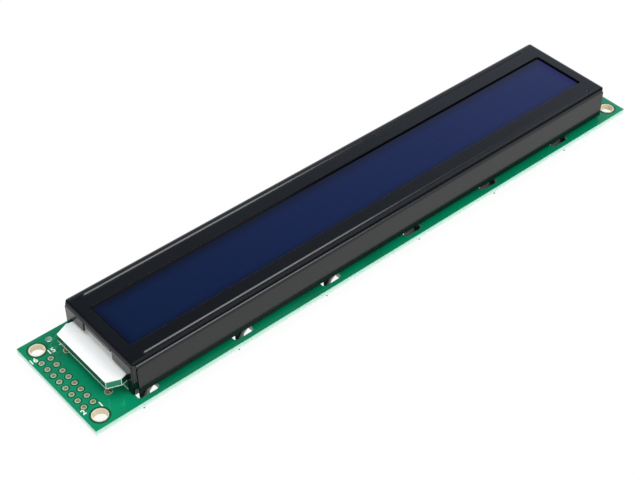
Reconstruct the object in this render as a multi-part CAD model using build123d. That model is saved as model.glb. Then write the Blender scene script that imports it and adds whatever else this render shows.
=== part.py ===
from build123d import *
import math
import os

# Character display module: two long rows of characters behind a folded steel bezel.
# Millimetres. X runs along the board with the connector end at -X, +Z faces the viewer.
# The origin is under the middle of the board, on the surface that the lock tabs stand on.

# Main board
board_length = 182.0
board_width = 33.5
board_thick = 1.6
fixing_inset = 3.5
fixing_radius = 1.75
fixing_ring_radius = 2.45
plating = 0.08
pad_rise = 0.05
spare_hole_radius = 0.9
spare_hole_inset_x = 7.6
spare_hole_inset_y = 2.2

# Two rows of plated holes for the connector
header_pitch = 2.54
header_rows = 2
header_columns = 8
header_drill_radius = 0.5
header_pad_radius = 0.88
header_inset = 3.27

# Folded steel bezel
bezel_margin_left = 12.7
bezel_margin_right = 7.2
bezel_margin_side = 2.13
bezel_height = 10.0
sheet = 0.5
fold_radius = 1.1
wall_gap = 0.9
corner_clip = 1.5
seam_along = 1.1
seam_across = 1.2
window_margin_end = 3.55
window_margin_side = 6.37
window_corner = 0.7
bead_margin = 4.7
bead_width = 1.0
bead_inset = 2.32
bead_slope = 45.0

# Cut-outs in the bezel's connector end, measured down from its face
flange_edge_drop = 3.9
lip_edge_drop = 1.9
relief_drop = 0.9
lip_half_length = 5.9
relief_width = 1.5
nick_width = 0.5
opening_clearance = 0.4

# Lock tabs that pass through the board, leaning inwards and widening as they twist
lock_count = 6
lock_first_inset = 3.35
lock_last_inset = 17.95
lock_width = 3.7
lock_flare = 0.8
lock_shift = 0.4
lock_twist = 38.0
lock_lean = 0.5
lock_reach = 2.2
lock_twist_length = 3.4
lock_steps = 3
slot_length = 6.0
slot_width = 2.9
slot_corner = 0.9

# Display cell
cell_margin_end = 1.55
cell_margin_side = 0.8
contact_ledge = 3.5
glass_thick = 1.1
seal_thick = 0.1
seal_width = 1.5
polarizer_thick = 0.3
polarizer_margin_end = 0.7
polarizer_margin_side = 0.5

# Contact strips between the board and the front glass
strip_margin_end = 1.5
strip_width = 1.8
strip_clearance = 0.1

# Edge lit backlight
guide_thick = 2.0
guide_drop = 3.85
guide_margin = 0.5
film_thick = 0.15
diffuser_thick = 0.3
frame_clearance = 0.1
frame_wall = 0.6
frame_end_wall = 0.7
rib_thick = 1.0
rib_count = 7
tab_reach = 4.95
tab_end_overhang = 0.2
tab_wide_overhang = 1.6
tab_neck_overhang = 1.2
tab_shoulder = 3.45
tab_neck = 1.75
pocket_wall = 0.75
pocket_length = 2.3
pocket_margin = 0.5

# Lamp strip inside the backlight's end
lamp_board_thick = 0.6
lamp_board_margin = 0.2
lamp_board_clearance = 0.1
lamp_count = 4
lamp_end_margin = 0.4
lamp_length = 3.0
lamp_height = 1.4
lamp_depth = 0.8
lamp_recess = 0.2
lamp_rim = 0.25
lamp_dish_slope = 22.0
pin_side = 0.5
pin_gap = 0.25
pin_inset = 0.7
pin_top_gap = 0.55
pin_tail = 0.8
pin_drill_radius = 0.5
pin_pad_radius = 1.0
solder_height = 0.6
solder_neck = 0.15

# Epoxy blobs over the chips, on the underside
blob_count = 5
blob_end_inset = 23.0
controller_radius = 7.6
driver_radius = 6.4
blob_height = 1.5
blob_rim = 0.25

# Small chips on the underside
chip_length = 2.0
chip_width = 1.25
resistor_height = 0.5
capacitor_height = 0.8
chip_end = 0.35
chip_end_rise = 0.04
resistor_count = 5
capacitor_count = 4
chip_pitch = 4.2
chip_inset = 6.0

# Heights
z_under = lock_reach
z_top = z_under + board_thick
z_bezel = z_top + bezel_height
z_sheet = z_bezel - sheet
z_front = z_sheet - polarizer_thick
z_seal = z_front - glass_thick
z_rear = z_seal - seal_thick
z_cell = z_rear - glass_thick
z_guide = z_cell - guide_drop
z_guide_top = z_guide + guide_thick
z_film_top = z_guide_top + film_thick
z_reflector = z_guide - film_thick

# Places and sizes along the board
bezel_left = bezel_margin_left - board_length / 2
bezel_right = board_length / 2 - bezel_margin_right
bezel_length = bezel_right - bezel_left
bezel_shift = (bezel_right + bezel_left) / 2
window_length = bezel_length - 2 * window_margin_end
bead_length = bezel_length - 2 * bead_margin
lock_first_x = bezel_left + lock_first_inset
lock_pitch = (bezel_length - lock_first_inset - lock_last_inset) / (lock_count - 1)
cell_length = bezel_length - 2 * cell_margin_end
polarizer_length = cell_length - 2 * polarizer_margin_end
strip_length = cell_length - 2 * strip_margin_end
blob_first_x = bezel_left + blob_end_inset
blob_pitch = (bezel_length - 2 * blob_end_inset) / (blob_count - 1)

# Places and sizes across the board
bezel_side = board_width / 2 - bezel_margin_side
bezel_width = 2 * bezel_side
window_width = bezel_width - 2 * window_margin_side
wall_middle = bezel_side - sheet / 2
slot_y = wall_middle - lock_lean
front_glass_width = bezel_width - 2 * cell_margin_side
rear_glass_width = front_glass_width - 2 * contact_ledge
front_polarizer_width = rear_glass_width - 2 * polarizer_margin_side
guide_half_width = rear_glass_width / 2 - guide_margin
tab_end_half_width = guide_half_width + tab_end_overhang
tab_wide_half_width = guide_half_width + tab_wide_overhang
tab_neck_half_width = guide_half_width + tab_neck_overhang
pocket_half_width = guide_half_width - pocket_margin
lamp_board_length = 2 * (pocket_half_width - lamp_board_margin)
lamp_pitch = (lamp_board_length - 2 * lamp_end_margin - lamp_length) / (lamp_count - 1)
pin_y = pocket_half_width - pin_inset

# Places inside the backlight
rail_inner = guide_half_width + frame_clearance
rail_outer = rail_inner + frame_wall
strip_y = rail_outer + strip_clearance + strip_width / 2
cell_left = bezel_shift - cell_length / 2
cell_right = bezel_shift + cell_length / 2
frame_left = cell_left + frame_clearance
frame_right = cell_right - frame_clearance
guide_right = frame_right - frame_end_wall - frame_clearance
tab_end = bezel_left - tab_reach
tab_shoulder_x = tab_end + tab_shoulder
tab_neck_x = tab_shoulder_x + tab_neck
tab_inner_x = frame_left - frame_clearance
optics_left = frame_left + frame_end_wall + frame_clearance
pocket_left = tab_end + pocket_wall
pocket_right = pocket_left + pocket_length
pin_x = pocket_left + pin_gap + pin_side / 2
lamp_board_x = pin_x + pin_side / 2
lamp_x = lamp_board_x + lamp_board_thick
header_x = -board_length / 2 + header_inset
chip_x = bezel_left + chip_inset


def plate(length, width, thick, z, x=0.0, y=0.0):
    """Flat plate centred on x, y with its lower face at z."""
    return extrude(Plane.XY.offset(z) * Pos(x, y) * Rectangle(length, width), thick)


def bar(x0, x1, y0, y1, z0, z1):
    """Straight bar between two corners."""
    return plate(x1 - x0, y1 - y0, z1 - z0, z0, (x0 + x1) / 2, (y0 + y1) / 2)


def eyelet(drill, pad):
    """Plated hole: a thin barrel through the board with a ring on each face that thins outwards."""
    barrel = Polyline(
        (drill, z_under - pad_rise),
        (pad, z_under),
        (drill + plating, z_under),
        (drill + plating, z_top),
        (pad, z_top),
        (drill, z_top + pad_rise),
        close=True,
    )
    return revolve(Plane.XZ * make_face(barrel), Axis.Z)


def fixing_places():
    pitch_x = board_length - 2 * fixing_inset
    pitch_y = board_width - 2 * fixing_inset
    return list(GridLocations(pitch_x, pitch_y, 2, 2))


def header_places():
    grid = GridLocations(header_pitch, header_pitch, header_rows, header_columns)
    return [Pos(header_x, 0) * place for place in grid]


def pin_places():
    return [Pos(pin_x, side * pin_y) for side in (-1, 1)]


def lock_places():
    """Each lock tab as its x, its side of the board and the hand of its twist."""
    places = []
    for index in range(lock_count):
        x = lock_first_x + index * lock_pitch
        hand = 1 if index < lock_count / 2 else -1
        for side in (-1, 1):
            places.append((x, side, hand))
    return places


def main_board():
    face = Rectangle(board_length, board_width)
    face -= [place * Circle(fixing_radius + plating) for place in fixing_places()]
    face -= [place * Circle(header_drill_radius + plating) for place in header_places()]
    face -= [place * Circle(pin_drill_radius + plating) for place in pin_places()]
    spare_x = spare_hole_inset_x - board_length / 2
    spare_y = board_width / 2 - spare_hole_inset_y
    face -= Pos(spare_x, spare_y) * Circle(spare_hole_radius)
    slot = RectangleRounded(slot_length, slot_width, slot_corner)
    face -= [Pos(x, side * slot_y) * slot for x, side, hand in lock_places()]
    return extrude(Plane.XY.offset(z_under) * face, board_thick)


def mounting_rings():
    ring = eyelet(fixing_radius, fixing_ring_radius)
    return [place * ring for place in fixing_places()]


def header_pads():
    pad = eyelet(header_drill_radius, header_pad_radius)
    return [place * pad for place in header_places()]


def backlight_pads():
    pad = eyelet(pin_drill_radius, pin_pad_radius)
    return [place * pad for place in pin_places()]


def lock_section(x, side, hand, share, z):
    """Cross-section of a lock tab at height z, with this share of its twist, lean and flare."""
    middle = Pos(x - hand * lock_shift, side * (wall_middle - share * lock_lean))
    turn = Rot(0, 0, -side * hand * share * lock_twist)
    width = lock_width + share * lock_flare
    return Plane.XY.offset(z) * middle * turn * Rectangle(width, sheet)


def lock_tab(x, side, hand):
    """Tab that leaves the wall's lower edge and twists through the board to lock."""
    z_start = z_top + wall_gap
    z_end = z_start - lock_twist_length
    neck = extrude(lock_section(x, side, hand, 0, z_start), sheet)
    sections = []
    for step in range(lock_steps + 1):
        share = step / lock_steps
        z = z_start - share * lock_twist_length
        sections.append(lock_section(x, side, hand, share, z))
    twisted = loft(Sketch() + sections)
    foot = extrude(lock_section(x, side, hand, 1, 0), z_end)
    return neck + twisted + foot


def bezel_cutouts():
    """Openings in the wall at the connector end, where the backlight comes out."""
    half = tab_neck_half_width + opening_clearance
    base = z_top - sheet
    flange = z_bezel - flange_edge_drop
    lip = z_bezel - lip_edge_drop
    relief = z_bezel - relief_drop
    outline = Polyline(
        (-half, base),
        (-half, flange),
        (-lip_half_length, flange),
        (-lip_half_length, relief),
        (-lip_half_length + nick_width, relief),
        (-lip_half_length + nick_width, lip),
        (lip_half_length - relief_width, lip),
        (lip_half_length - relief_width, relief),
        (lip_half_length, relief),
        (lip_half_length, flange),
        (half, flange),
        (half, base),
        close=True,
    )
    wall = Plane.YZ.offset(bezel_left - sheet)
    return extrude(wall * make_face(outline), 2 * sheet + fold_radius / 2)


def bezel():
    outer = plate(bezel_length, bezel_width, bezel_height, z_top, bezel_shift)
    outer = fillet(outer.faces().sort_by(Axis.Z)[-1].edges(), fold_radius)
    inner = plate(
        bezel_length - 2 * sheet,
        bezel_width - 2 * sheet,
        bezel_height - sheet,
        z_top,
        bezel_shift,
    )
    inner = fillet(inner.faces().sort_by(Axis.Z)[-1].edges(), fold_radius - sheet)
    shell = outer - inner
    window = RectangleRounded(window_length, window_width, window_corner)
    shell -= extrude(Plane.XY.offset(z_sheet - sheet) * Pos(bezel_shift, 0) * window, 3 * sheet)
    bead = SlotOverall(bead_length, bead_width)
    for side in (-1, 1):
        place = Pos(bezel_shift, side * (bezel_side - bead_inset))
        ridge = Plane.XY.offset(z_sheet) * place * bead
        groove = Plane.XY.offset(z_bezel) * place * bead
        shell += extrude(ridge, -polarizer_thick, taper=bead_slope)
        shell -= extrude(groove, -polarizer_thick, taper=bead_slope)
    corner = extrude(Rectangle(2 * seam_along, 2 * seam_across), z_bezel - fold_radius)
    clip = extrude(
        Plane.XY.offset(z_bezel - fold_radius)
        * Rot(0, 0, 45)
        * Rectangle(corner_clip * math.sqrt(2), corner_clip * math.sqrt(2)),
        2 * fold_radius,
    )
    for x in (bezel_left, bezel_right):
        for y in (-bezel_side, bezel_side):
            shell -= Pos(x, y) * corner
            shell -= Pos(x, y) * clip
    shell -= bezel_cutouts()
    inner_left = bezel_left + sheet
    inner_right = bezel_right - sheet
    shell -= bar(inner_left, inner_right, -bezel_side, bezel_side, z_top, z_top + wall_gap)
    for x, side, hand in lock_places():
        shell += lock_tab(x, side, hand)
    return shell


def front_polarizer():
    return plate(polarizer_length, front_polarizer_width, polarizer_thick, z_front, bezel_shift)


def front_glass():
    return plate(cell_length, front_glass_width, glass_thick, z_seal, bezel_shift)


def cell_seal():
    ring = Rectangle(cell_length, rear_glass_width)
    ring -= Rectangle(cell_length - 2 * seal_width, rear_glass_width - 2 * seal_width)
    return extrude(Plane.XY.offset(z_rear) * Pos(bezel_shift, 0) * ring, seal_thick)


def rear_glass():
    return plate(cell_length, rear_glass_width, glass_thick, z_cell, bezel_shift)


def rear_polarizer():
    low = z_cell - polarizer_thick
    length = guide_right - optics_left
    width = rear_glass_width - 2 * (polarizer_margin_side + frame_clearance)
    return plate(length, width, polarizer_thick, low, optics_left + length / 2)


def contact_strip(side):
    return plate(strip_length, strip_width, z_seal - z_top, z_top, bezel_shift, side * strip_y)


def tab_outline(right, half_width):
    """Backlight outline from its tapered end to a straight body of the given half width."""
    upper = [
        (tab_end, tab_end_half_width),
        (tab_shoulder_x, tab_wide_half_width),
        (tab_neck_x, tab_neck_half_width),
        (tab_inner_x, tab_neck_half_width),
        (tab_inner_x, half_width),
        (right, half_width),
    ]
    lower = [(x, -y) for x, y in reversed(upper)]
    return make_face(Polyline(*upper, *lower, close=True))


def light_guide():
    face = tab_outline(guide_right, guide_half_width)
    middle = (pocket_left + pocket_right) / 2
    face -= Pos(middle, 0) * Rectangle(pocket_length, 2 * pocket_half_width)
    return extrude(Plane.XY.offset(z_guide) * face, guide_thick)


def end_cover_film():
    face = tab_outline(optics_left - frame_clearance, guide_half_width)
    return extrude(Plane.XY.offset(z_guide_top) * face, film_thick)


def reflector_film():
    face = tab_outline(guide_right, guide_half_width)
    face -= [place * Circle(pin_drill_radius) for place in pin_places()]
    return extrude(Plane.XY.offset(z_reflector) * face, film_thick)


def diffuser_sheet():
    length = guide_right - optics_left
    width = 2 * guide_half_width
    return plate(length, width, diffuser_thick, z_guide_top, optics_left + length / 2)


def backlight_frame():
    """Moulded ladder: two rails that carry the cell, ribs that carry the light guide."""
    span = frame_right - frame_left
    middle = (frame_right + frame_left) / 2
    rails = Rectangle(span, 2 * rail_outer) - Rectangle(span, 2 * rail_inner)
    frame = extrude(Plane.XY.offset(z_top) * Pos(middle, 0) * rails, z_cell - z_top)
    end_in = frame_right - frame_end_wall
    frame += bar(end_in, frame_right, -rail_outer, rail_outer, z_top, z_cell)
    bridge_low = z_film_top + frame_clearance
    bridge_in = frame_left + frame_end_wall
    frame += bar(frame_left, bridge_in, -rail_outer, rail_outer, bridge_low, z_cell)
    rib_pitch = (span - rib_thick) / rib_count
    for index in range(rib_count):
        x = frame_left + rib_thick / 2 + index * rib_pitch
        rib = plate(rib_thick, 2 * rail_outer, z_reflector - z_top, z_top, x)
        frame += rib
    return frame


def lamp_board():
    z = z_guide + lamp_board_clearance
    height = guide_thick - 2 * lamp_board_clearance
    x = lamp_board_x + lamp_board_thick / 2
    return plate(lamp_board_thick, lamp_board_length, height, z, x)


def lamp(index):
    """Light-emitting package with a dished window that faces along the guide."""
    y = (index - (lamp_count - 1) / 2) * lamp_pitch
    middle = z_guide + guide_thick / 2
    face = Plane.YZ.offset(lamp_x) * Pos(y, middle) * Rectangle(lamp_length, lamp_height)
    dish = Rectangle(lamp_length - 2 * lamp_rim, lamp_height - 2 * lamp_rim)
    mouth = Plane.YZ.offset(lamp_x + lamp_depth) * Pos(y, middle) * dish
    return extrude(face, lamp_depth) - extrude(mouth, -lamp_recess, taper=lamp_dish_slope)


def backlight_pin(side):
    low = z_under - pin_tail
    high = z_guide_top - pin_top_gap
    return plate(pin_side, pin_side, high - low, low, pin_x, side * pin_y)


def solder_joint(side):
    """Solder that fills the plated hole and climbs the pin on both faces."""
    root = pin_pad_radius - solder_neck
    tip = pin_side / 2 + solder_neck
    low = z_under - pad_rise
    high = z_top + pad_rise
    section = Polyline(
        (0, low - solder_height),
        (tip, low - solder_height),
        (root, low),
        (pin_drill_radius, low),
        (pin_drill_radius, high),
        (root, high),
        (tip, high + solder_height),
        (0, high + solder_height),
        close=True,
    )
    fill = Pos(pin_x, side * pin_y) * revolve(Plane.XZ * make_face(section), Axis.Z)
    return fill - backlight_pin(side)


def chip_blob(index):
    """Domed drop of black epoxy, a shallow cap of a sphere on a low rim."""
    radius = controller_radius if index == 0 else driver_radius
    cap = blob_height - blob_rim
    ball = (radius**2 + cap**2) / (2 * cap)
    half_angle = math.asin(radius / ball) / 2
    crown = (ball * math.sin(half_angle), ball - blob_height - ball * math.cos(half_angle))
    edge = Polyline((0, -blob_height), (0, 0), (radius, 0), (radius, -blob_rim))
    dome = ThreePointArc((radius, -blob_rim), crown, (0, -blob_height))
    drop = revolve(Plane.XZ * make_face([edge, dome]), Axis.Z)
    return Pos(blob_first_x + index * blob_pitch, 0, z_under) * drop


def chip(x, y, height):
    """Small surface-mounted part with a slightly prouder metal cap on each end."""
    body = plate(chip_length, chip_width, height, z_under - height, x, y)
    for side in (-1, 1):
        cap_x = x + side * (chip_length - chip_end) / 2
        cap_height = height + chip_end_rise
        cap_width = chip_width + 2 * chip_end_rise
        body += plate(chip_end, cap_width, cap_height, z_under - cap_height, cap_x, y)
    return body


def chip_row_y(index, count):
    return (index - (count - 1) / 2) * chip_pitch


def write(node, shape):
    """Write one sub-part to its own STEP file, its separate solids side by side."""
    solids = shape if isinstance(shape, list) else [shape]
    solids = [solid for item in solids for solid in item.solids()]
    result = solids[0] if len(solids) == 1 else Compound(children=solids)
    export_step(result, f"parts/{node}.step")


os.makedirs("parts", exist_ok=True)

write("main_board", main_board())
write("mounting_rings", mounting_rings())
write("header_pads", header_pads())
write("backlight_pads", backlight_pads())
write("bezel", bezel())
write("front_polarizer", front_polarizer())
write("front_glass", front_glass())
write("cell_seal", cell_seal())
write("rear_glass", rear_glass())
write("rear_polarizer", rear_polarizer())
write("diffuser_sheet", diffuser_sheet())
write("light_guide", light_guide())
write("end_cover_film", end_cover_film())
write("reflector_film", reflector_film())
write("backlight_frame", backlight_frame())
write("lamp_board", lamp_board())

for number in range(lamp_count):
    write(f"lamp_{number + 1}", lamp(number))

for name, side in (("near", -1), ("far", 1)):
    write(f"contact_strip_{name}", contact_strip(side))
    write(f"backlight_pin_{name}", backlight_pin(side))
    write(f"solder_joint_{name}", solder_joint(side))

write("controller_blob", chip_blob(0))
for number in range(1, blob_count):
    write(f"driver_blob_{number}", chip_blob(number))

for number in range(resistor_count):
    write(f"resistor_{number + 1}", chip(chip_x, chip_row_y(number, resistor_count), resistor_height))

for number in range(capacitor_count):
    y = chip_row_y(number, capacitor_count)
    write(f"capacitor_{number + 1}", chip(chip_x - chip_pitch, y, capacitor_height))
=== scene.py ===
import math

import bmesh
import bpy
import numpy as np
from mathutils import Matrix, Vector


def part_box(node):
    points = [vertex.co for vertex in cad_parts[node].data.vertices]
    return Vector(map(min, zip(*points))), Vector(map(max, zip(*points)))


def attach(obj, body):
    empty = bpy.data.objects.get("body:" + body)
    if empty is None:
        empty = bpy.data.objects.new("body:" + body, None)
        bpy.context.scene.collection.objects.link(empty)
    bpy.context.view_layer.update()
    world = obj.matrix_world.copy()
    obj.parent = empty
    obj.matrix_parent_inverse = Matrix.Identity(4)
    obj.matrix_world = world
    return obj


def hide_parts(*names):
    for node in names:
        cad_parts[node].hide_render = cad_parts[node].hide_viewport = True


# A two-line character display module, dressed over its CAD frame.
# Lengths are millimetres unless a name says otherwise; meshes and materials are in metres.
# X runs along the board away from the connector, Y across it to the far edge, Z out of the face.

MM = 0.001
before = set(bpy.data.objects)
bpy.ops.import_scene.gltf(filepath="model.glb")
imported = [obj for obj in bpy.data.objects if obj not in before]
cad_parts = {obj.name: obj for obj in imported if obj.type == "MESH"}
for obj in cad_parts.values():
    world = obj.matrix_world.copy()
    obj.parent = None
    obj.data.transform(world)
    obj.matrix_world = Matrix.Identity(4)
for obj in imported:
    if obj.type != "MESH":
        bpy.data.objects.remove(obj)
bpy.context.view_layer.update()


def node_box(node):
    """Lowest and highest corner of a CAD node, in millimetres."""
    low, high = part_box(node)
    return np.array(low) / MM, np.array(high) / MM


board_low, board_high = node_box("main_board")
bezel_low = node_box("bezel")[0]
pads_low, pads_high = node_box("header_pads")
face_low, face_high = node_box("front_polarizer")
board_top = board_high[2]
board_under = board_low[2]
face_middle = (face_low + face_high) / 2

# Connector: two columns of eight plated holes
header_pitch = 2.54
header_columns = 2
header_rows = 8
header_pad_radius = 0.88
header_x = (pads_low[0] + pads_high[0]) / 2
header_first_y = header_pad_radius + pads_low[1]

# Character layout of the display face
character_pitch = (3.70, 5.95)
character_size = (3.20, 5.55)
dot_pitch = (0.65, 0.70)
dot_size = (0.60, 0.65)
character_count = (40, 2)
window_size = (155.0, 16.5)
# Width of the black band of painted shade just inside the window
shade_border_width = 0.5

# Where painted shade darkens the display face and turns it violet at the +X end, measured from its
# middle
violet_shade_start = 74.6
violet_shade_full = 76.2
far_shade_start = 4.0
near_shade_start = -6.2
left_shade_width = 3.2
shade_power = 1.4
window_shade_black = "#020205"

# Worn enamel: strips outside the beads, measured from the middle line, and the lock tabs
rubbed_start = 12.7
rubbed_full = 13.1
scuff_blur = 0.2
paint_edge = 0.07

# Shade on the light guide's sides, measured out from the bezel's end
guide_shade_start = 1.6
guide_shade_full = 1.0

# Metal caps of the chip resistors and capacitors
chip_cap = 0.35


def linear(code):
    """Linear colour of an sRGB hex code.

    Each channel c becomes c / 12.92 below 0.04045, else ((c + 0.055) / 1.055) ** 2.4.
    """
    srgb = np.array([int(code[i : i + 2], 16) for i in (1, 3, 5)]) / 255
    rgb = np.where(srgb < 0.04045, srgb / 12.92, ((srgb + 0.055) / 1.055) ** 2.4)
    return (*rgb.tolist(), 1.0)


def add(tree, kind, links=None, **settings):
    """Add a node with its settings; each entry of links is a value or a socket for one input."""
    node = tree.nodes.new(kind)
    for name, value in settings.items():
        setattr(node, name, value)
    for name, value in (links or {}).items():
        if isinstance(value, bpy.types.NodeSocket):
            tree.links.new(value, node.inputs[name])
        else:
            node.inputs[name].default_value = value
    return node


def start(name):
    """Empty material with its tree and its Object coordinates, in metres in the CAD frame."""
    material = bpy.data.materials.new(name)
    material.use_nodes = True
    tree = material.node_tree
    tree.nodes.clear()
    place = add(tree, "ShaderNodeTexCoord").outputs["Object"]
    return material, tree, place


def show(tree, shader):
    add(tree, "ShaderNodeOutputMaterial", {"Surface": shader.outputs[0]})


def per_mm(size):
    """Noise scale whose features are about this many millimetres across."""
    return 1 / (size * MM)


# Materials


def solder_masked_laminate():
    """Glass-fibre laminate under glossy green solder mask.

    The eye gets a clear, deep green with slow changes where copper lies under it, a faint woven
    texture, and pale, fibrous cut edges that let light through and whiten away from the mask.
    """
    material, tree, place = start("solder_masked_laminate")
    normal = add(tree, "ShaderNodeNewGeometry").outputs["Normal"]
    upright = add(tree, "ShaderNodeSeparateXYZ", {0: normal}).outputs["Z"]
    tilt = add(tree, "ShaderNodeMath", {0: upright}, operation="ABSOLUTE")
    flat = add(tree, "ShaderNodeMath", {0: tilt.outputs[0], 1: 0.5}, operation="GREATER_THAN")
    pour = add(tree, "ShaderNodeTexNoise", {"Vector": place, "Scale": per_mm(9), "Detail": 1.0})
    green = add(
        tree,
        "ShaderNodeMix",
        {"Factor": pour.outputs["Fac"], 6: linear("#00724e"), 7: linear("#009066")},
        data_type="RGBA",
    )
    layers = add(tree, "ShaderNodeMapping", {"Vector": place, "Scale": (1.0, 1.0, 6.0)})
    fibre = add(
        tree,
        "ShaderNodeTexNoise",
        {"Vector": layers.outputs[0], "Scale": per_mm(0.9), "Detail": 3.0},
    )
    z = add(tree, "ShaderNodeSeparateXYZ", {0: place}).outputs["Z"]
    depth = add(
        tree,
        "ShaderNodeMapRange",
        {"Value": z, "From Min": board_top * MM, "From Max": board_under * MM},
    )
    pale = add(
        tree,
        "ShaderNodeMix",
        {"Factor": depth.outputs[0], 6: linear("#8ccdb2"), 7: linear("#dcf1e8")},
        data_type="RGBA",
    )
    strands = add(tree, "ShaderNodeMath", {0: fibre.outputs["Fac"], 1: 0.35}, operation="MULTIPLY")
    edge = add(
        tree,
        "ShaderNodeMix",
        {"Factor": strands.outputs[0], 6: pale.outputs[2], 7: linear("#f2f8f4")},
        data_type="RGBA",
    )
    colour = add(
        tree,
        "ShaderNodeMix",
        {"Factor": flat.outputs[0], 6: edge.outputs[2], 7: green.outputs[2]},
        data_type="RGBA",
    )
    gloss = add(
        tree,
        "ShaderNodeMapRange",
        {"Value": flat.outputs[0], "To Min": 0.62, "To Max": 0.24},
    )
    weave = add(tree, "ShaderNodeTexNoise", {"Vector": place, "Scale": per_mm(0.7), "Detail": 2.0})
    bump = add(
        tree,
        "ShaderNodeBump",
        {"Height": weave.outputs["Fac"], "Strength": 0.12, "Distance": 0.02 * MM},
    )
    shader = add(
        tree,
        "ShaderNodeBsdfPrincipled",
        {
            "Base Color": colour.outputs[2],
            "Roughness": gloss.outputs[0],
            "IOR": 1.38,
            "Normal": bump.outputs[0],
        },
    )
    show(tree, shader)
    return material


def mottled(name, dark, light, size, roughness, bump_depth=0.0, metallic=0.0):
    """Plain finish whose colour drifts between two near shades in patches of the given size."""
    material, tree, place = start(name)
    patches = add(
        tree,
        "ShaderNodeTexNoise",
        {"Vector": place, "Scale": per_mm(size), "Detail": 3.0},
    )
    colour = add(
        tree,
        "ShaderNodeMix",
        {"Factor": patches.outputs["Fac"], 6: linear(dark), 7: linear(light)},
        data_type="RGBA",
    )
    rough = add(
        tree,
        "ShaderNodeMapRange",
        {"Value": patches.outputs["Fac"], "To Min": roughness[0], "To Max": roughness[1]},
    )
    links = {
        "Base Color": colour.outputs[2],
        "Roughness": rough.outputs[0],
        "Metallic": metallic,
    }
    if bump_depth:
        bump = add(
            tree,
            "ShaderNodeBump",
            {"Height": patches.outputs["Fac"], "Strength": 0.5, "Distance": bump_depth * MM},
        )
        links["Normal"] = bump.outputs[0]
    show(tree, add(tree, "ShaderNodeBsdfPrincipled", links))
    return material


def black_enamel():
    """Black enamel baked on folded steel.

    The eye gets a semi-gloss black with fine orange peel about 0.5 mm across, duller on the
    strips outside the beads that the press rubbed and on the tabs that the twisting scuffed,
    and soft edges where the paint rounds over the cut sheet.
    """
    material, tree, place = start("black_enamel")
    peel = add(tree, "ShaderNodeTexNoise", {"Vector": place, "Scale": per_mm(0.5), "Detail": 2.0})
    drift = add(tree, "ShaderNodeTexNoise", {"Vector": place, "Scale": per_mm(14), "Detail": 2.0})
    colour = add(
        tree,
        "ShaderNodeMix",
        {"Factor": drift.outputs["Fac"], 6: linear("#08090a"), 7: linear("#0d0f11")},
        data_type="RGBA",
    )
    rough = add(
        tree,
        "ShaderNodeMapRange",
        {"Value": drift.outputs["Fac"], "To Min": 0.13, "To Max": 0.18},
    )
    axes = add(tree, "ShaderNodeSeparateXYZ", {0: place})
    across = add(tree, "ShaderNodeMath", {0: axes.outputs["Y"]}, operation="ABSOLUTE").outputs[0]
    rubbed = add(
        tree,
        "ShaderNodeMapRange",
        {
            "Value": across,
            "From Min": rubbed_start * MM,
            "From Max": rubbed_full * MM,
            "To Max": 0.2,
        },
    )
    normal = add(tree, "ShaderNodeNewGeometry").outputs["True Normal"]
    upright = add(tree, "ShaderNodeSeparateXYZ", {0: normal}).outputs["Z"]
    top = add(tree, "ShaderNodeMath", {0: upright, 1: 0.98}, operation="GREATER_THAN")
    worn = add(
        tree,
        "ShaderNodeMath",
        {0: rubbed.outputs[0], 1: top.outputs[0]},
        operation="MULTIPLY",
    )
    dull = add(tree, "ShaderNodeMath", {0: rough.outputs[0], 1: worn.outputs[0]}, operation="ADD")
    scuffed = add(
        tree,
        "ShaderNodeMapRange",
        {
            "Value": axes.outputs["Z"],
            "From Min": (board_top + scuff_blur) * MM,
            "From Max": (board_top - scuff_blur) * MM,
            "To Max": 0.3,
        },
    )
    finish = add(
        tree,
        "ShaderNodeMath",
        {0: dull.outputs[0], 1: scuffed.outputs[0]},
        operation="ADD",
    )
    soft = add(tree, "ShaderNodeBevel", {"Radius": paint_edge * MM}, samples=6)
    bump = add(
        tree,
        "ShaderNodeBump",
        {
            "Height": peel.outputs["Fac"],
            "Strength": 0.25,
            "Distance": 0.01 * MM,
            "Normal": soft.outputs[0],
        },
    )
    shader = add(
        tree,
        "ShaderNodeBsdfPrincipled",
        {
            "Base Color": colour.outputs[2],
            "Roughness": finish.outputs[0],
            "IOR": 1.4,
            "Normal": bump.outputs[0],
        },
    )
    show(tree, shader)
    return material


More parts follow.
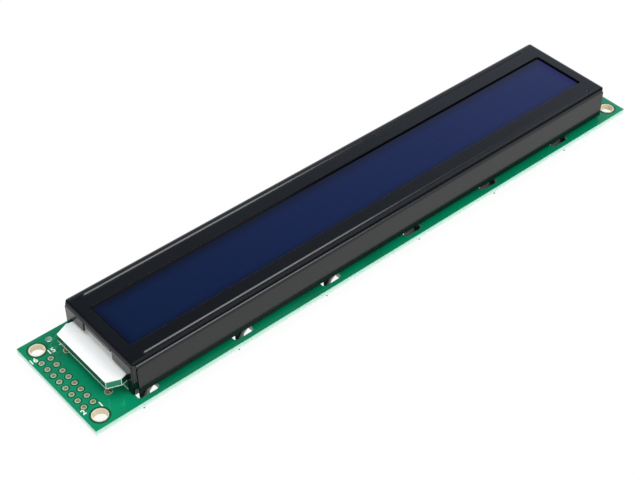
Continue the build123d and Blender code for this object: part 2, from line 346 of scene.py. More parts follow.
def polarizer_film():
    """Blue super-twisted display seen through its glossy polarizing film, with no character lit.

    The eye gets a deep navy sheet, a shade lighter inside each unlit dot of the character grid,
    painted lighter towards +X as reflection, fading to black near its edges as painted shade,
    turning a darker violet at the +X end as painted shade beside the bezel, and a black band of
    painted shade just inside the window.
    """
    material, tree, place = start("polarizer_film")
    local = add(
        tree,
        "ShaderNodeVectorMath",
        {0: place, 1: tuple((-face_middle * MM).tolist())},
        operation="ADD",
    )
    axes = add(tree, "ShaderNodeSeparateXYZ", {0: local.outputs[0]})
    inside = []
    outside = []
    for axis, letter in enumerate("XY"):
        field = character_pitch[axis] * character_count[axis] * MM
        shifted = add(
            tree,
            "ShaderNodeMath",
            {0: axes.outputs[letter], 1: field / 2},
            operation="ADD",
        ).outputs[0]
        cell = add(
            tree,
            "ShaderNodeMath",
            {0: shifted, 1: character_pitch[axis] * MM, 2: 0.0},
            operation="WRAP",
        ).outputs[0]
        dot = add(
            tree,
            "ShaderNodeMath",
            {0: cell, 1: dot_pitch[axis] * MM, 2: 0.0},
            operation="WRAP",
        ).outputs[0]
        away = add(
            tree,
            "ShaderNodeMath",
            {0: axes.outputs[letter]},
            operation="ABSOLUTE",
        ).outputs[0]
        limit = (window_size[axis] / 2 - shade_border_width) * MM
        for source, bound, operation, group in (
            (cell, character_size[axis] * MM, "LESS_THAN", inside),
            (dot, dot_size[axis] * MM, "LESS_THAN", inside),
            (shifted, 0.0, "GREATER_THAN", inside),
            (shifted, field, "LESS_THAN", inside),
            (away, limit, "GREATER_THAN", outside),
        ):
            test = add(tree, "ShaderNodeMath", {0: source, 1: bound}, operation=operation)
            group.append(test.outputs[0])
    lit = inside[0]
    for test in inside[1:]:
        lit = add(tree, "ShaderNodeMath", {0: lit, 1: test}, operation="MULTIPLY").outputs[0]
    # Painted shade: a black band just inside the window, where the window's edge shades the cell
    shade_border = add(tree, "ShaderNodeMath", {0: outside[0], 1: outside[1]}, operation="MAXIMUM")
    # Painted reflection: the navy is painted a little lighter towards +X, for the stronger
    # reflection seen at that end
    along = add(
        tree,
        "ShaderNodeMapRange",
        {
            "Value": axes.outputs["X"],
            "From Min": -window_size[0] / 2 * MM,
            "From Max": window_size[0] / 2 * MM,
        },
    )
    shades = [
        add(
            tree,
            "ShaderNodeMix",
            {"Factor": along.outputs[0], 6: linear(left), 7: linear(right)},
            data_type="RGBA",
        ).outputs[2]
        for left, right in (("#051637", "#09184a"), ("#061839", "#0a1a4d"))
    ]
    face = add(
        tree,
        "ShaderNodeMix",
        {"Factor": lit, 6: shades[0], 7: shades[1]},
        data_type="RGBA",
    )
    # Painted shade: the face turns a darker violet over the last millimetres at +X, where the
    # bezel's edge dims its reflection
    end_shade = add(
        tree,
        "ShaderNodeMapRange",
        {
            "Value": axes.outputs["X"],
            "From Min": violet_shade_start * MM,
            "From Max": violet_shade_full * MM,
        },
    )
    end_shaded = add(
        tree,
        "ShaderNodeMix",
        {"Factor": end_shade.outputs[0], 6: face.outputs[2], 7: linear("#03034c")},
        data_type="RGBA",
    )
    # Painted shade: the face fades to black towards the far, near and -X edges of the window, where
    # the window's edges shade the cell
    edge_shade = 0.0
    for letter, clear, full, depth in (
        ("Y", far_shade_start, window_size[1] / 2, 0.85),
        ("Y", near_shade_start, -window_size[1] / 2, 0.7),
        ("X", -window_size[0] / 2 + left_shade_width, -window_size[0] / 2, 0.85),
    ):
        edge = add(
            tree,
            "ShaderNodeMapRange",
            {
                "Value": axes.outputs[letter],
                "From Min": clear * MM,
                "From Max": full * MM,
                "To Max": depth,
            },
        )
        curve = add(tree, "ShaderNodeMath", {0: edge.outputs[0], 1: shade_power}, operation="POWER")
        deeper = add(tree, "ShaderNodeMath", {0: edge_shade, 1: curve.outputs[0]}, operation="MAXIMUM")
        edge_shade = deeper.outputs[0]
    shaded = add(
        tree,
        "ShaderNodeMix",
        {"Factor": edge_shade, 6: end_shaded.outputs[2], 7: linear(window_shade_black)},
        data_type="RGBA",
    )
    colour = add(
        tree,
        "ShaderNodeMix",
        {"Factor": shade_border.outputs[0], 6: shaded.outputs[2], 7: linear(window_shade_black)},
        data_type="RGBA",
    )
    shader = add(
        tree,
        "ShaderNodeBsdfPrincipled",
        {"Base Color": colour.outputs[2], "Roughness": 0.06, "IOR": 1.37},
    )
    show(tree, shader)
    return material


def float_glass():
    """Clear float glass: sharp reflections, faint green in its ground edges."""
    material, tree, place = start("float_glass")
    ground = add(tree, "ShaderNodeTexNoise", {"Vector": place, "Scale": per_mm(0.6), "Detail": 2.0})
    rough = add(
        tree,
        "ShaderNodeMapRange",
        {"Value": ground.outputs["Fac"], "To Min": 0.01, "To Max": 0.05},
    )
    shader = add(
        tree,
        "ShaderNodeBsdfPrincipled",
        {
            "Base Color": linear("#e8f6ef"),
            "Roughness": rough.outputs[0],
            "IOR": 1.52,
            "Transmission Weight": 1.0,
        },
    )
    show(tree, shader)
    return material


def cast_acrylic():
    """Clear cast acrylic seen on its sides: the board's green glows in it, with fine saw lines.

    The end face is painted darker, as shade on the lamp board seen close behind it, and the glow
    dies away where the bezel shades it.
    """
    material, tree, place = start("cast_acrylic")
    stretch = add(tree, "ShaderNodeMapping", {"Vector": place, "Scale": (1.0, 1.0, 0.05)})
    lines = add(
        tree,
        "ShaderNodeTexNoise",
        {"Vector": stretch.outputs[0], "Scale": per_mm(0.35), "Detail": 1.0},
    )
    bump = add(
        tree,
        "ShaderNodeBump",
        {"Height": lines.outputs["Fac"], "Strength": 0.08, "Distance": 0.01 * MM},
    )
    glow = add(
        tree,
        "ShaderNodeMix",
        {"Factor": lines.outputs["Fac"], 6: linear("#2f8a6b"), 7: linear("#4fa888")},
        data_type="RGBA",
    )
    # Painted shade: faces turned towards -X get a darker green, for the shaded pocket with the lamp
    # board seen through them
    normal = add(tree, "ShaderNodeNewGeometry").outputs["Normal"]
    along = add(tree, "ShaderNodeSeparateXYZ", {0: normal}).outputs["X"]
    painted_end_shade = add(tree, "ShaderNodeMath", {0: along, 1: -0.9}, operation="LESS_THAN")
    colour = add(
        tree,
        "ShaderNodeMix",
        {"Factor": painted_end_shade.outputs[0], 6: glow.outputs[2], 7: linear("#1d5a45")},
        data_type="RGBA",
    )
    x = add(tree, "ShaderNodeSeparateXYZ", {0: place}).outputs["X"]
    under = add(
        tree,
        "ShaderNodeMapRange",
        {
            "Value": x,
            "From Min": (bezel_low[0] - guide_shade_start) * MM,
            "From Max": (bezel_low[0] - guide_shade_full) * MM,
            "To Max": 0.85,
        },
    )
    shaded = add(
        tree,
        "ShaderNodeMix",
        {"Factor": under.outputs[0], 6: colour.outputs[2], 7: linear("#04150f")},
        data_type="RGBA",
    )
    shader = add(
        tree,
        "ShaderNodeBsdfPrincipled",
        {
            "Base Color": shaded.outputs[2],
            "Roughness": 0.1,
            "IOR": 1.3,
            "Transmission Weight": 0.25,
            "Normal": bump.outputs[0],
        },
    )
    show(tree, shader)
    return material


def capped_chip(name, node, body, cap):
    """Surface-mounted chip: tinned caps at both ends in x, its own colour between them."""
    low, high = node_box(node)
    middle_x = (low[0] + high[0]) / 2
    material, tree, place = start(name)
    x = add(tree, "ShaderNodeSeparateXYZ", {0: place}).outputs["X"]
    offset = add(tree, "ShaderNodeMath", {0: x, 1: middle_x * MM}, operation="SUBTRACT")
    reach = add(tree, "ShaderNodeMath", {0: offset.outputs[0]}, operation="ABSOLUTE")
    metal = add(
        tree,
        "ShaderNodeMath",
        {0: reach.outputs[0], 1: ((high[0] - low[0]) / 2 - chip_cap) * MM},
        operation="GREATER_THAN",
    )
    grain = add(tree, "ShaderNodeTexNoise", {"Vector": place, "Scale": per_mm(0.25), "Detail": 2.0})
    colour = add(
        tree,
        "ShaderNodeMix",
        {"Factor": metal.outputs[0], 6: linear(body), 7: linear(cap)},
        data_type="RGBA",
    )
    rough = add(
        tree,
        "ShaderNodeMapRange",
        {"Value": grain.outputs["Fac"], "To Min": 0.3, "To Max": 0.5},
    )
    shader = add(
        tree,
        "ShaderNodeBsdfPrincipled",
        {
            "Base Color": colour.outputs[2],
            "Metallic": metal.outputs[0],
            "Roughness": rough.outputs[0],
        },
    )
    show(tree, shader)
    return material


laminate = solder_masked_laminate()
enamel = black_enamel()
polarizer = polarizer_film()
glass = float_glass()
acrylic = cast_acrylic()
# Tinned copper, hot-air levelled: a dull, faintly green silver with slow dark patches
tinned_copper = mottled("tinned_copper", "#a6b38c", "#dde4c6", 0.6, (0.45, 0.6), 0.01, 0.45)
# Thicker tin in the fixing holes: a pale cream
tinned_bore = mottled("tinned_bore", "#d9c59c", "#fbefd8", 1.6, (0.4, 0.55), 0.01, 0.3)
# Tin plate on drawn wire: brighter and whiter than the pads
tinned_wire = mottled("tinned_wire", "#b4b3ad", "#dad9d2", 0.8, (0.25, 0.4), 0.005, 1.0)
# Arrises of the acrylic, frosted by the cutter: pale and matt
frosted_arris = mottled("frosted_arris", "#d3e6e0", "#eef6f3", 0.4, (0.35, 0.5))
# Solder, set from liquid under brown flux: dark and warm with smooth bright patches
solder = mottled("solder", "#2e2414", "#85754e", 0.4, (0.15, 0.4), 0.015, 0.9)
# Polyester film, white all through: soft matt white
white_film = mottled("white_film", "#f0f4f4", "#f7f9f9", 6, (0.45, 0.55), 0.003)
# Moulded polycarbonate, filled white: slightly warm, satin
white_moulding = mottled("white_moulding", "#e2e2dc", "#eeede8", 3, (0.4, 0.5), 0.01)
# Layered silicone: grey rubber, nearly matt
contact_rubber = mottled("contact_rubber", "#4a4a4c", "#66666a", 0.3, (0.6, 0.75), 0.01)
# Cured glass-seal resin: amber-grey and matt
seal_resin = mottled("seal_resin", "#b9b19a", "#cfc8b4", 1.5, (0.5, 0.6))
# Epoxy drops, cured in air: black, satin, faintly uneven
black_epoxy = mottled("black_epoxy", "#0d0d0e", "#1b1b1d", 2.5, (0.3, 0.5), 0.05)
# Light-emitting packages: white moulded body, pale yellow phosphor in the window
lamp_body = mottled("lamp_body", "#e9e3b4", "#f5f1d6", 0.8, (0.35, 0.5), 0.01)
# Screen-printed epoxy ink: white, matt, slightly grainy
white_ink = mottled("white_ink", "#e8ece8", "#ffffff", 0.3, (0.55, 0.7), 0.004)
# Bare laminate seen through mask where the copper stops: a darker, deeper green
bare_laminate_mask = mottled("bare_laminate_mask", "#004b30", "#005d3e", 3, (0.22, 0.3))
# Copper run under mask: a lighter green than the bare board beside it
copper_under_mask = mottled("copper_under_mask", "#03906a", "#0aa276", 4, (0.2, 0.28))

resistor = capped_chip("resistor_body", "resistor_1", "#131316", "#c9c7bd")
capacitor = capped_chip("capacitor_body", "capacitor_1", "#9c7a58", "#c9c7bd")

finish_of = {
    "main_board": laminate,
    "lamp_board": laminate,
    "mounting_rings": tinned_bore,
    "header_pads": tinned_copper,
    "backlight_pads": tinned_copper,
    "bezel": enamel,
    "front_polarizer": polarizer,
    "rear_polarizer": polarizer,
    "front_glass": glass,
    "rear_glass": glass,
    "cell_seal": seal_resin,
    "diffuser_sheet": white_film,
    "end_cover_film": white_film,
    "reflector_film": white_film,
    "light_guide": acrylic,
    "backlight_frame": white_moulding,
    "controller_blob": black_epoxy,
}
finish_of_family = {
    "lamp_": lamp_body,
    "contact_strip_": contact_rubber,
    "backlight_pin_": tinned_wire,
    "solder_joint_": solder,
    "driver_blob_": black_epoxy,
    "resistor_": resistor,
    "capacitor_": capacitor,
}


def dress(piece, material):
    piece.data.materials.clear()
    piece.data.materials.append(material)


for node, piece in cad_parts.items():
    families = [finish for family, finish in finish_of_family.items() if node.startswith(family)]
    dress(piece, finish_of.get(node) or families[0])


# Surfaces


def grid_quads(rows, columns, wrap_rows=False, wrap_columns=False):
    """Quads of a grid of points numbered row by row, joined round where a direction wraps."""
    row = np.arange(rows if wrap_rows else rows - 1)[:, None]
    column = np.arange(columns if wrap_columns else columns - 1)[None, :]
    next_row = (row + 1) % rows
    next_column = (column + 1) % columns
    corners = [
        row * columns + column,
        row * columns + next_column,
        next_row * columns + next_column,
        next_row * columns + column,
    ]
    return np.stack(np.broadcast_arrays(*corners), axis=-1).reshape(-1, 4)


def piece_from(name, points, faces, material, smooth=True):
    """Object at the origin from millimetre points and faces; it rides on the one body."""
    mesh = bpy.data.meshes.new(name)
    corners = (np.asarray(points).reshape(-1, 3) * MM).tolist()
    mesh.from_pydata(corners, [], np.asarray(faces).tolist())
    mesh.update()
    tidy = bmesh.new()
    tidy.from_mesh(mesh)
    bmesh.ops.recalc_face_normals(tidy, faces=tidy.faces)
    tidy.to_mesh(mesh)
    tidy.free()
    if smooth:
        mesh.shade_smooth()
    piece = bpy.data.objects.new(name, mesh)
    bpy.context.scene.collection.objects.link(piece)
    dress(piece, material)
    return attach(piece, "root")


def turned(name, centres, profile, material, steps=32, smooth=True):
    """Closed profile of (radius, height) turned round an upright axis at each centre.

    Each point is centre + radius * (cos a, sin a), at its height, for a once round the circle.
    """
    centres = np.asarray(centres, float)
    profile = np.asarray(profile, float)
    angle = np.linspace(0, 2 * math.pi, steps, endpoint=False)
    shape = (len(centres), steps, len(profile))
    x = centres[:, 0, None, None] + profile[None, None, :, 0] * np.cos(angle)[None, :, None]
    y = centres[:, 1, None, None] + profile[None, None, :, 0] * np.sin(angle)[None, :, None]
    z = np.broadcast_to(profile[None, None, :, 1], shape)
    points = np.stack([x, y, z], axis=-1)
    quads = grid_quads(steps, len(profile), wrap_rows=True, wrap_columns=True)
    copies = np.arange(len(centres))[:, None, None] * steps * len(profile)
    return piece_from(name, points, (quads[None] + copies).reshape(-1, 4), material, smooth)


def ribbons(name, routes, width, base, rise, material):
    """Flat strips with bevelled sides carried along routes of straight runs.

    At each point the strip's half-width is laid off along the mitre, the bisector of the two
    runs, lengthened by 1 / cos of half the turn; its section is a trapezium of the given rise.
    """
    all_points = []
    all_faces = []
    for route in routes:
        route = np.asarray(route, float)
        runs = np.diff(route, axis=0)
        runs /= np.linalg.norm(runs, axis=1)[:, None]
        before = np.vstack([runs[:1], runs])
        after = np.vstack([runs, runs[-1:]])
        along = before + after
        along /= np.linalg.norm(along, axis=1)[:, None]
        side = np.stack([-along[:, 1], along[:, 0]], axis=1)
        side /= np.sum(along * after, axis=1)[:, None]
        offsets = np.array([-width / 2, width / 2, width / 2 - abs(rise), abs(rise) - width / 2])
        heights = np.array([base, base, base + rise, base + rise])
        plan = route[:, None, :] + side[:, None, :] * offsets[None, :, None]
        level = np.broadcast_to(heights[None, :, None], (len(route), 4, 1))
        points = np.concatenate([plan, level], axis=2).reshape(-1, 3)
        faces = grid_quads(len(route), 4, wrap_columns=True)
        last = 4 * (len(route) - 1)
        caps = np.array([[0, 1, 2, 3], [last + 3, last + 2, last + 1, last]])
        first = sum(len(p) for p in all_points)
        all_points.append(points)
        all_faces.append(np.vstack([faces, caps]) + first)
    return piece_from(name, np.vstack(all_points), np.vstack(all_faces), material, smooth=False)


# Printed marks on the top of the board

ink_thick = 0.02
ink_line = 0.2
ink_spread = 0.035
digit_size = 2.1


def printed_number(name, body, x, y):
    """Plain numeral in white ink, its lower left corner at x, y, reading along the board."""
    curve = bpy.data.curves.new(name, "FONT")
    curve.body = body
    curve.size = digit_size * MM
    curve.extrude = ink_thick / 2 * MM
    curve.offset = ink_spread * MM
    curve.resolution_u = 4
    source = bpy.data.objects.new(name + "_curve", curve)
    bpy.context.scene.collection.objects.link(source)
    bpy.context.view_layer.update()
    evaluated = source.evaluated_get(bpy.context.evaluated_depsgraph_get())
    mesh = bpy.data.meshes.new_from_object(evaluated)
    bpy.data.objects.remove(source)
    points = np.zeros(len(mesh.vertices) * 3)
    mesh.vertices.foreach_get("co", points)
    points = points.reshape(-1, 3) + np.array([x, y, board_top + ink_thick / 2]) * MM
    mesh.vertices.foreach_set("co", points.ravel())
    mesh.update()
    piece = bpy.data.objects.new(name, mesh)
    bpy.context.scene.collection.objects.link(piece)
    dress(piece, white_ink)
    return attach(piece, "root")


numbers = {
    "printed_one": ("1", -86.05, -11.4),
    "printed_two": ("2", -90.45, -10.8),
    "printed_fifteen": ("15", -86.1, 10.15),
    "printed_sixteen": ("16", -91.15, 10.05),
}
for name, (body, x, y) in numbers.items():
    printed_number(name, body, x, y)

# Line under the bezel's cut-away end
bezel_line_x = bezel_low[0] + 0.2
bezel_line_half = 11.1
ribbons(
    "printed_bezel_line",
    [[(bezel_line_x, -bezel_line_half), (bezel_line_x, bezel_line_half)]],
    ink_line,
    board_top,
    ink_thick,
    white_ink,
)

# Mask rings: the solder mask laps over each pad's rim and lies on bare laminate round it

mask_rise = 0.01
mask_lap = 0.035
header_ring = (0.7, 1.06)
fixing_ring = (2.06, 2.6)


def mask_rings(name, centres, inner, outer):
    """Shallow green ring round each hole on both faces, highest where it laps over the pad."""
    for face, level, out in (("top", board_top, 1), ("under", board_under, -1)):
        section = [
            (inner, level - out * mask_rise),
            (outer, level - out * mask_rise),
            (outer, level + out * mask_rise),
            (inner, level + out * mask_lap),
        ]
        turned(f"{name}_{face}", centres, section, bare_laminate_mask, steps=40, smooth=False)


header_centres = [
    (
        header_x + (column - (header_columns - 1) / 2) * header_pitch,
        header_first_y + row * header_pitch,
    )
    for column in range(header_columns)
    for row in range(header_rows)
]
mask_rings("header_mask_ring", header_centres, *header_ring)

fixing_inset = 3.5
fixing_centres = [
    (x + side_x * fixing_inset, y + side_y * fixing_inset)
    for x, side_x in ((board_low[0], 1), (board_high[0], -1))
    for y, side_y in ((board_low[1], 1), (board_high[1], -1))
]
mask_rings("fixing_mask_ring", fixing_centres, *fixing_ring)

# Runs of bare laminate between copper areas, copper runs and two vias, all under the mask

clearance_width = 0.2
clearance_rise = 0.012
copper_width = 0.22
copper_rise = 0.014
via_bore = 0.16
via_rim = 0.34
via_rise = 0.02

clearance_routes = [
    [(-85.9, 7.9), (-85.5, 12.1), (-84.6, 13.2)],
    [(-84.1, 8.0), (-84.1, 9.6), (-82.9, 10.8)],
]
ribbons(
    "mask_clearances",
    clearance_routes,
    clearance_width,
    board_top,
    clearance_rise,
    bare_laminate_mask,
)
copper_routes = [
    [(-83.3, -10.6), (-83.7, -11.6), (-84.9, -13.5)],
    [(-80.7, -13.0), (-81.5, -14.5), (-82.3, -13.9)],
    [(-84.2, 9.0), (-84.2, 12.6), (-80.5, 15.1)],
]
ribbons(
    "mask_copper_runs",
    copper_routes,
    copper_width,
    board_top,
    copper_rise,
    copper_under_mask,
)


def via_section(bore, level, rise):
    """Flat ring of a via that stands proud of the board by rise, up or down."""
    return [(bore, level), (via_rim, level), (via_rim, level + rise), (bore, level + rise)]


via_centres = [(-81.7, -14.0), (-83.6, 11.2)]
top_via = via_section(via_bore, board_top, via_rise)
turned("mask_vias", via_centres, top_via, copper_under_mask, smooth=False)

# Short printed mark beside the far backlight pin
ribbons(
    "printed_pin_mark",
    [[(-82.5, 11.3), (-81.6, 11.3)], [(-81.2, 10.9), (-80.6, 10.9)]],
    ink_line,
    board_top,
    ink_thick,
    white_ink,
)

# Underside: printed rings round the epoxy blobs and boxes round the chips

ring_gap = 0.45
ring_reach = 0.7
blob_nodes = ["controller_blob"] + [f"driver_blob_{number}" for number in range(1, 5)]
blob_boxes = [node_box(node) for node in blob_nodes]
blob_middles = [(low + high) / 2 for low, high in blob_boxes]
blob_radii = [(high[0] - low[0]) / 2 for low, high in blob_boxes]
for number, (middle, radius) in enumerate(zip(blob_middles, blob_radii), 1):
    ring = [
        (radius + ring_gap, board_under + ink_thick),
        (radius + ring_reach, board_under + ink_thick),
        (radius + ring_reach, board_under - ink_thick),
        (radius + ring_gap, board_under - ink_thick),
    ]
    turned(f"printed_blob_ring_{number}", [middle[:2]], ring, white_ink, steps=96, smooth=False)

chip_margin = 0.3
chip_line = 0.15
chip_boxes = []
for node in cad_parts:
    if node.startswith(("resistor_", "capacitor_")):
        low, high = node_box(node)
        low, high = low - chip_margin, high + chip_margin
        corners = [(low[0], low[1]), (high[0], low[1]), (high[0], high[1]), (low[0], high[1])]
        chip_boxes.append(corners + corners[:1])
ribbons("printed_chip_boxes", chip_boxes, chip_line, board_under, -ink_thick, white_ink)

# Underside: copper runs under the mask

run_width = 0.2
header_run_width = 0.18
run_rise = -0.018
header_squeeze = 0.28
header_lead = 1.6
hole_clearance = 0.8
side_step = 0.6
bus_half_count = 3
bus_pitch = 0.55
fan_half_count = 11
fan_pitch = 0.5
edge_pitch = 1.1
fan_clearance = 0.2
via_row = 11.3
via_lead = 0.5
under_via_bore = 0.14
under_via_rise = 0.025


def header_runs():
    """Runs from the connector's holes, bent 45 degrees until they are squeezed together.

    The inner column's runs start level; the outer column's pass between the inner holes.
    """
    inner = header_x + header_pitch / 2
    outer = header_x - header_pitch / 2
    lead = inner + header_lead
    stop = blob_middles[0][0] - blob_radii[0] - ring_gap
    routes = []
    for row in range(header_rows):
        y = header_first_y + row * header_pitch
        bend = lead + abs(y) * (1 - header_squeeze)
        squeezed = y * header_squeeze
        routes.append([(inner + hole_clearance, y), (lead, y), (bend, squeezed), (stop, squeezed)])
    for row in range(1, header_rows):
        y = header_first_y + row * header_pitch
        between = y - header_pitch / 2
        turn = outer + side_step
        bend = lead + abs(between) * (1 - header_squeeze)
        squeezed = between * header_squeeze
        routes.append(
            [
                (turn, y - side_step),
                (turn + header_pitch / 2 - side_step, between),
                (lead, between),
                (bend, squeezed),
                (stop, squeezed),
            ]
        )
    return routes


def bus_runs():
    """Level runs from each blob's printed ring to the next."""
    routes = []
    for left, right, left_radius, right_radius in zip(
        blob_middles, blob_middles[1:], blob_radii, blob_radii[1:]
    ):
        for line in range(-bus_half_count, bus_half_count + 1):
            y = line * bus_pitch
            start_x = left[0] + math.sqrt((left_radius + ring_reach) ** 2 - y**2)
            end_x = right[0] - math.sqrt((right_radius + ring_reach) ** 2 - y**2)
            routes.append([(start_x, y), (end_x, y)])
    return routes


def fan_runs():
    """Runs from the blobs to two rows of vias under the contact strips.

    The k-th run leaves a blob k * fan pitch from its middle, turns 45 degrees and reaches its via
    at k * edge pitch, so that runs and vias are evenly spread along the display. The middle one
    has no turn.
    """
    routes = []
    vias = []
    for middle, radius in zip(blob_middles, blob_radii):
        for k in range(-fan_half_count, fan_half_count + 1):
            near_x = k * fan_pitch
            far_x = k * edge_pitch
            rim = math.sqrt((radius + ring_reach) ** 2 - near_x**2)
            lead = via_row - via_lead
            bend = lead - abs(far_x - near_x)
            if bend < rim + fan_clearance:
                continue
            turns = [(near_x, bend), (far_x, lead)] if k else []
            plan = [(near_x, rim), *turns, (far_x, via_row)]
            for side in (-1, 1):
                routes.append([(middle[0] + x, side * y) for x, y in plan])
                vias.append((middle[0] + far_x, side * via_row))
    return routes, vias


fan, fan_vias = fan_runs()
for name, routes, width in (
    ("copper_runs_header", header_runs(), header_run_width),
    ("copper_runs_bus", bus_runs(), run_width),
    ("copper_runs_fan", fan, run_width),
):
    ribbons(name, routes, width, board_under, run_rise, copper_under_mask)
under_via = via_section(under_via_bore, board_under, -under_via_rise)
turned("copper_vias_under", fan_vias, under_via, copper_under_mask, steps=12, smooth=False)

# Solder joints of the backlight pins, with hollow cones of set solder

pin_side = 0.5
solder_root = 0.8
solder_tip = 0.36
solder_height = 0.6
solder_power = 2.4
solder_steps = 9
crown_rise = 0.06
core_share = 0.8
hole_radius = 0.5
pad_rise = 0.05


def solder_profile():
    """Profile round a pin, on both faces of the board.

    Its radius is tip + (root - tip) * (1 - t) ** power, with t from 0 at the pad to 1 at the top.
    """
    share = np.linspace(0, 1, solder_steps)
    radius = solder_tip + (solder_root - solder_tip) * (1 - share) ** solder_power
    top = np.stack([radius, board_top + pad_rise + share * solder_height], axis=1)
    under = np.stack([radius, board_under - pad_rise - share * solder_height], axis=1)
    core = pin_side / 2 * core_share
    crown = [(core, top[-1, 1] + crown_rise), (core, under[-1, 1] - crown_rise)]
    barrel = [(hole_radius, board_under), (hole_radius, board_top)]
    return np.vstack([under[::-1], barrel, top, crown])


for side in ("near", "far"):
    low, high = node_box(f"backlight_pin_{side}")
    middle = (low + high) / 2
    joint = turned(f"solder_cone_{side}", [middle[:2]], solder_profile(), solder, steps=40)
    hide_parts(f"solder_joint_{side}")

# Light guide: the CAD solid with its cut edges eased

weld_distance = 0.001
flat_angle = 1
arris_width = 0.09
arris_angle = 20

def eased_guide():
    """Copy of the guide's solid, its coplanar triangles joined and its edges bevelled."""
    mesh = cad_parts["light_guide"].data.copy()
    mesh.name = "eased_light_guide"
    shape = bmesh.new()
    shape.from_mesh(mesh)
    bmesh.ops.remove_doubles(shape, verts=shape.verts, dist=weld_distance * MM)
    bmesh.ops.dissolve_limit(
        shape,
        angle_limit=math.radians(flat_angle),
        verts=shape.verts,
        edges=shape.edges,
    )
    shape.to_mesh(mesh)
    shape.free()
    piece = bpy.data.objects.new("eased_light_guide", mesh)
    bpy.context.scene.collection.objects.link(piece)
    bevel = piece.modifiers.new("eased", "BEVEL")
    bevel.width = arris_width * MM
    bevel.segments = 2
    bevel.limit_method = "ANGLE"
    bevel.angle_limit = math.radians(arris_angle)
    bevel.material = 1
    dress(piece, acrylic)
    piece.data.materials.append(frosted_arris)
    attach(piece, "root")
    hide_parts("light_guide")
    return piece


eased_guide()

# Stage: floor, studio light and the photograph's camera

floor_half = 3000.0
floor_white = "#f6f6f6"
floor_glow = 0.95

# Studio seen in reflections: height of the view direction, and strengths
ceiling_edge = 0.76
horizon_edge = 0.45
ceiling_level = 0.165
horizon_level = 1.5
horizon_fall = 1.4
diffuse_level = 0.6

# Camera: place in metres, turns in degrees
camera_place = (-0.18743, -0.20568, 0.25334)
camera_tilt = 47.225
camera_turn = -40.819
camera_lens = 79.98
camera_sensor = 36.0
camera_near = 0.01


def ray_kind(tree):
    """1 for camera, glossy and transmission rays, which should see the white studio as it is."""
    path = add(tree, "ShaderNodeLightPath")
    seen = path.outputs["Is Camera Ray"]
    for kind in ("Is Glossy Ray", "Is Transmission Ray"):
        either = {0: seen, 1: path.outputs[kind]}
        seen = add(tree, "ShaderNodeMath", either, operation="MAXIMUM").outputs[0]
    return seen


def studio_floor():
    """Plain pale floor under the lock tabs, mostly self-white, so the shadow stays faint."""
    mesh = bpy.data.meshes.new("floor")
    corners = np.array([(-1, -1), (1, -1), (1, 1), (-1, 1)]) * floor_half * MM
    mesh.from_pydata([(x, y, 0.0) for x, y in corners], [], [(0, 1, 2, 3)])
    floor = bpy.data.objects.new("floor", mesh)
    bpy.context.scene.collection.objects.link(floor)
    material, tree = start("floor_white")[:2]
    seen = add(tree, "ShaderNodeMath", {0: ray_kind(tree), 1: floor_glow}, operation="MULTIPLY")
    plain = add(tree, "ShaderNodeBsdfDiffuse", {"Color": linear(floor_white)})
    bright = add(tree, "ShaderNodeEmission", {"Color": (1, 1, 1, 1), "Strength": 1.0})
    shares = {0: seen.outputs[0], 1: plain.outputs[0], 2: bright.outputs[0]}
    mixed = add(tree, "ShaderNodeMixShader", shares)
    show(tree, mixed)
    dress(floor, material)


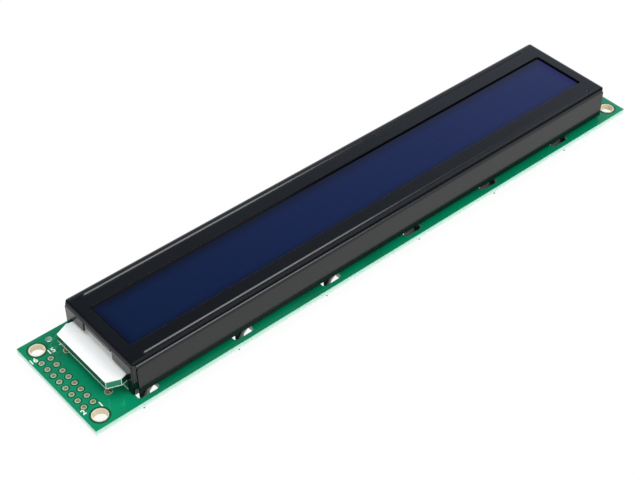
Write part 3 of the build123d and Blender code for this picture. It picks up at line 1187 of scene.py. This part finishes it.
def studio_world():
    """White horizon that darkens overhead for reflections, even soft light for everything else."""
    world = bpy.data.worlds.new("studio")
    bpy.context.scene.world = world
    world.use_nodes = True
    tree = world.node_tree
    tree.nodes.clear()
    direction = add(tree, "ShaderNodeTexCoord").outputs["Generated"]
    height = add(tree, "ShaderNodeSeparateXYZ", {0: direction}).outputs["Z"]
    lowness = add(
        tree,
        "ShaderNodeMapRange",
        {"Value": height, "From Min": ceiling_edge, "From Max": horizon_edge},
    )
    fall = add(tree, "ShaderNodeMath", {0: lowness.outputs[0], 1: horizon_fall}, operation="POWER")
    overhead = add(
        tree,
        "ShaderNodeMapRange",
        {"Value": fall.outputs[0], "To Min": ceiling_level, "To Max": horizon_level},
    )
    tint = add(
        tree,
        "ShaderNodeMix",
        {"Factor": lowness.outputs[0], 6: linear("#c9dcff"), 7: linear("#eef3ff")},
        data_type="RGBA",
    )
    path = add(tree, "ShaderNodeLightPath")
    mirror = add(
        tree,
        "ShaderNodeMath",
        {0: path.outputs["Is Glossy Ray"], 1: path.outputs["Is Transmission Ray"]},
        operation="MAXIMUM",
    )
    level = add(
        tree,
        "ShaderNodeMix",
        {"Factor": mirror.outputs[0], "A": diffuse_level, "B": overhead.outputs[0]},
    )
    colour = add(
        tree,
        "ShaderNodeMix",
        {"Factor": mirror.outputs[0], 6: linear("#ffffff"), 7: tint.outputs[2]},
        data_type="RGBA",
    )
    shown = add(
        tree,
        "ShaderNodeMix",
        {"Factor": path.outputs["Is Camera Ray"], "A": level.outputs[0], "B": 1.0},
    )
    light = add(
        tree,
        "ShaderNodeBackground",
        {"Color": colour.outputs[2], "Strength": shown.outputs[0]},
    )
    add(tree, "ShaderNodeOutputWorld", {"Surface": light.outputs[0]})


def softbox(name, direction, distance, size, watts):
    """Square area lamp at a direction from the object, turned to face it."""
    lamp = bpy.data.lights.new(name, "AREA")
    lamp.size = size
    lamp.energy = watts
    holder = bpy.data.objects.new(name, lamp)
    bpy.context.scene.collection.objects.link(holder)
    aim = np.array(direction, float)
    aim /= np.linalg.norm(aim)
    holder.location = (aim * distance).tolist()
    azimuth = math.atan2(aim[0], -aim[1])
    holder.rotation_euler = (math.acos(aim[2]), 0.0, azimuth)


def photo_camera():
    """Camera fitted to the board's corners, holes and pads in the photograph."""
    camera = bpy.data.cameras.new("camera")
    camera.sensor_width = camera_sensor
    camera.lens = camera_lens
    holder = bpy.data.objects.new("camera", camera)
    bpy.context.scene.collection.objects.link(holder)
    holder.location = camera_place
    holder.rotation_euler = (math.radians(camera_tilt), 0.0, math.radians(camera_turn))
    camera.clip_start = camera_near
    bpy.context.scene.camera = holder


studio_floor()
studio_world()
softbox("key_softbox", (0.3, -0.68, 0.67), 0.9, 0.36, 2.9)
softbox("fill_softbox", (-0.15, 0.15, 0.98), 1.1, 0.5, 4.5)
softbox("end_softbox", (-0.9, -0.3, 0.3), 0.9, 0.8, 1.5)
photo_camera()
bpy.context.scene.view_settings.view_transform = "Standard"
